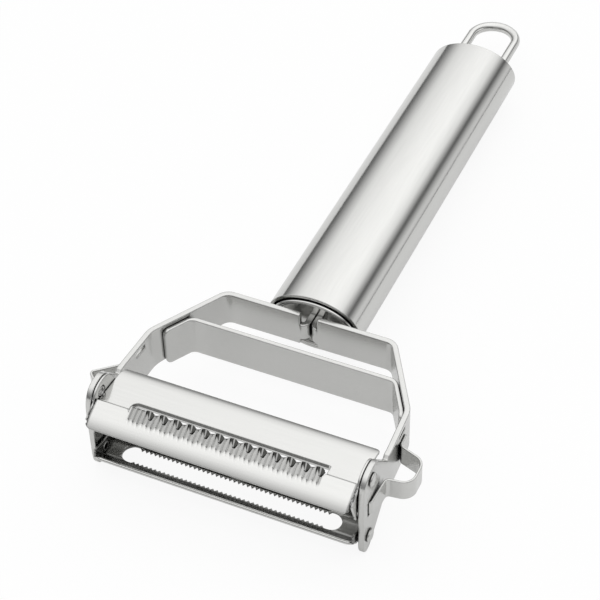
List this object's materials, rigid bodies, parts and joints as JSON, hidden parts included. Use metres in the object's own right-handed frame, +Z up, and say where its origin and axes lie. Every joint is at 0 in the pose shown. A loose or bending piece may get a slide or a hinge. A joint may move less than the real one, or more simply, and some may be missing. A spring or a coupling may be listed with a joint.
{
  "type": "julienne peeler",
  "caption": "Stainless Y peeler with a julienne blade and a serrated blade swivelling between the lugs of a strip yoke, eye gouges, a tube handle and a hanging loop.",
  "frame": {"origin": "middle of the tool's bounding box, on the table it lies on, in the plane half way between the lugs", "axes": "+X across the head to the right, seen from behind the handle; +Y from the blades to the hanging loop; +Z up"},
  "size_m": [0.0872, 0.1996, 0.0261],
  "materials": {
    "yoke_steel": "tumbled satin stainless strip with bright sheared edges",
    "blade_steel": "fine satin stainless blade sheet",
    "handle_steel": "polished stainless tube",
    "plug_steel": "polished stainless pressings",
    "wire_steel": "polished stainless wire",
    "rivet_steel": "bright stainless rivets"
  },
  "bodies": {
    "frame": {"handle_tube": "handle_steel", "handle_front_plug": "plug_steel", "handle_end_cap": "plug_steel", "hanging_loop": "wire_steel", "yoke_left": "yoke_steel", "yoke_right": "yoke_steel", "cross_brace": "yoke_steel", "tang_rivet": "rivet_steel", "eye_gouge_left": "yoke_steel", "eye_gouge_right": "yoke_steel", "julienne_rivet_left": "rivet_steel", "julienne_rivet_right": "rivet_steel", "serrated_rivet_left": "rivet_steel", "serrated_rivet_right": "rivet_steel"},
    "julienne": {"julienne_blade": "blade_steel"},
    "serrated": {"serrated_blade": "blade_steel"}
  },
  "joints": [
    {"name": "julienne_swivel", "type": "hinge", "parent": "frame", "child": "julienne", "pos_m": [0, -0.09036, 0.0228], "axis": [1, 0, 0], "range_deg": [-15, 15]},
    {"name": "serrated_swivel", "type": "hinge", "parent": "frame", "child": "serrated", "pos_m": [0, -0.0926, 0.00467], "axis": [1, 0, 0], "range_deg": [-15, 15]}
  ]
}
